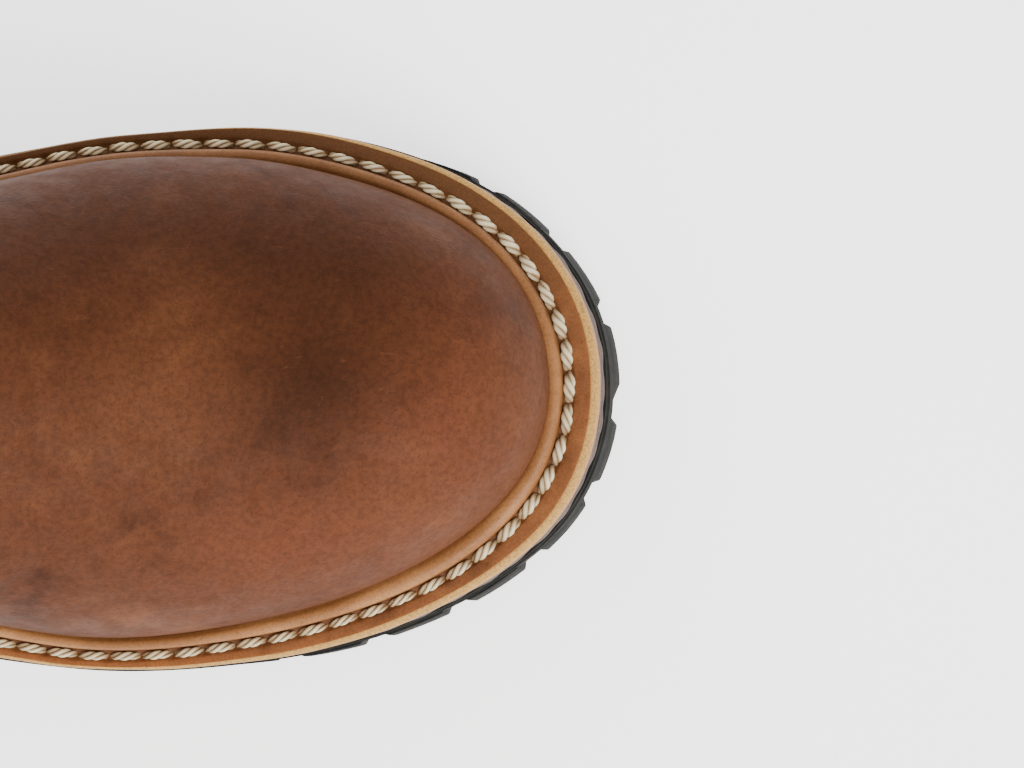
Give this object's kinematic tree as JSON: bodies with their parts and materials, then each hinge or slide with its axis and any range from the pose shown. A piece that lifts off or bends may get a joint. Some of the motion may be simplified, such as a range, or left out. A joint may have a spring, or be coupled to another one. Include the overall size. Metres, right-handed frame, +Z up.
{
  "type": "logger boot",
  "caption": "Lace-up logger boot in brown oiled leather, with a stitched storm welt, a lugged rubber sole and a high stacked heel, standing upright and open at the collar.",
  "frame": {"origin": "on the floor, at the middle of the heel's ground face", "axes": "+X towards the toe, +Y towards the inner (medial) side of this right boot, +Z up"},
  "size_m": [0.3128, 0.115, 0.2743],
  "materials": {
    "upper_leather": "oiled pull-up leather, satin, scuffed paler at folds",
    "overlay_leather": "oiled pull-up leather, satin",
    "welt_leather": "tan welt leather, matt, with a pale cut edge",
    "insole_leather": "undyed vegetable-tanned leather, matt",
    "midsole_leather": "dark edge-dressed leather",
    "rubber": "matt black rubber, dusty",
    "hardware": "antique brass",
    "waxed_cord": "round braided cord"
  },
  "bodies": {
    "root": {"upper": "upper_leather", "heel_counter": "overlay_leather", "backstay": "overlay_leather", "tongue": "upper_leather", "storm_welt": "welt_leather", "insole": "insole_leather", "midsole": "midsole_leather", "outsole": "rubber", "heel_base": "midsole_leather", "heel_lift": "rubber", "lace": "waxed_cord", "eyelet_outer_1": "hardware", "eyelet_inner_1": "hardware", "eyelet_outer_2": "hardware", "eyelet_inner_2": "hardware", "eyelet_outer_3": "hardware", "eyelet_inner_3": "hardware", "eyelet_outer_4": "hardware", "eyelet_inner_4": "hardware", "eyelet_outer_5": "hardware", "eyelet_inner_5": "hardware", "hook_outer_1": "hardware", "hook_inner_1": "hardware", "hook_outer_2": "hardware", "hook_inner_2": "hardware", "hook_outer_3": "hardware", "hook_inner_3": "hardware", "hook_outer_4": "hardware", "hook_inner_4": "hardware"}
  },
  "joints": []
}
